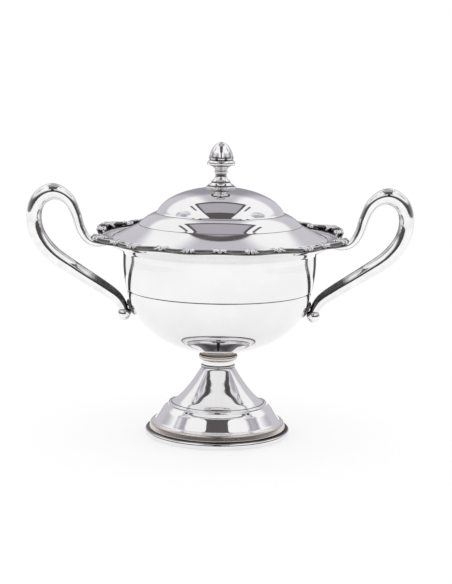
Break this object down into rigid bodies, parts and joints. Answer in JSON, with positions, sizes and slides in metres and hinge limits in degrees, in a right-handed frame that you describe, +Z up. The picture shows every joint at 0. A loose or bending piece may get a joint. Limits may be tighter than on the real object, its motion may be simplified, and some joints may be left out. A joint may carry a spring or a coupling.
{
  "type": "covered sugar bowl",
  "caption": "Two-handled covered sugar bowl in polished silver, with a stepped pedestal foot, a lobed cast border, a domed lift-off lid and an acorn finial.",
  "frame": {"origin": "centre of the foot on the table", "axes": "+Z up along the bowl's axis, X through the two handles, Y across them"},
  "size_m": [0.199, 0.1374, 0.1525],
  "materials": {
    "silver": "polished",
    "cast_silver": "polished cast relief with darker hollows",
    "fixing_brass": "plain turned"
  },
  "bodies": {
    "bowl": {"foot_rim_wire": "silver", "foot_shell": "silver", "stem_collar": "silver", "bowl_lower": "silver", "bowl_upper": "silver", "rim_border": "cast_silver", "right_handle": "silver", "right_handle_ball": "silver", "right_handle_pad": "cast_silver", "left_handle": "silver", "left_handle_ball": "silver", "left_handle_pad": "cast_silver"},
    "lid": {"lid_shell": "silver", "lid_bezel": "silver", "finial_base": "silver", "finial_cup": "cast_silver", "finial_bud": "cast_silver", "finial_stud": "fixing_brass", "finial_washer": "fixing_brass", "finial_nut": "fixing_brass"}
  },
  "joints": [
    {"name": "lid_lift", "type": "slide", "parent": "bowl", "child": "lid", "axis": [0, 0, 1], "range_m": [0, 0.09]}
  ]
}
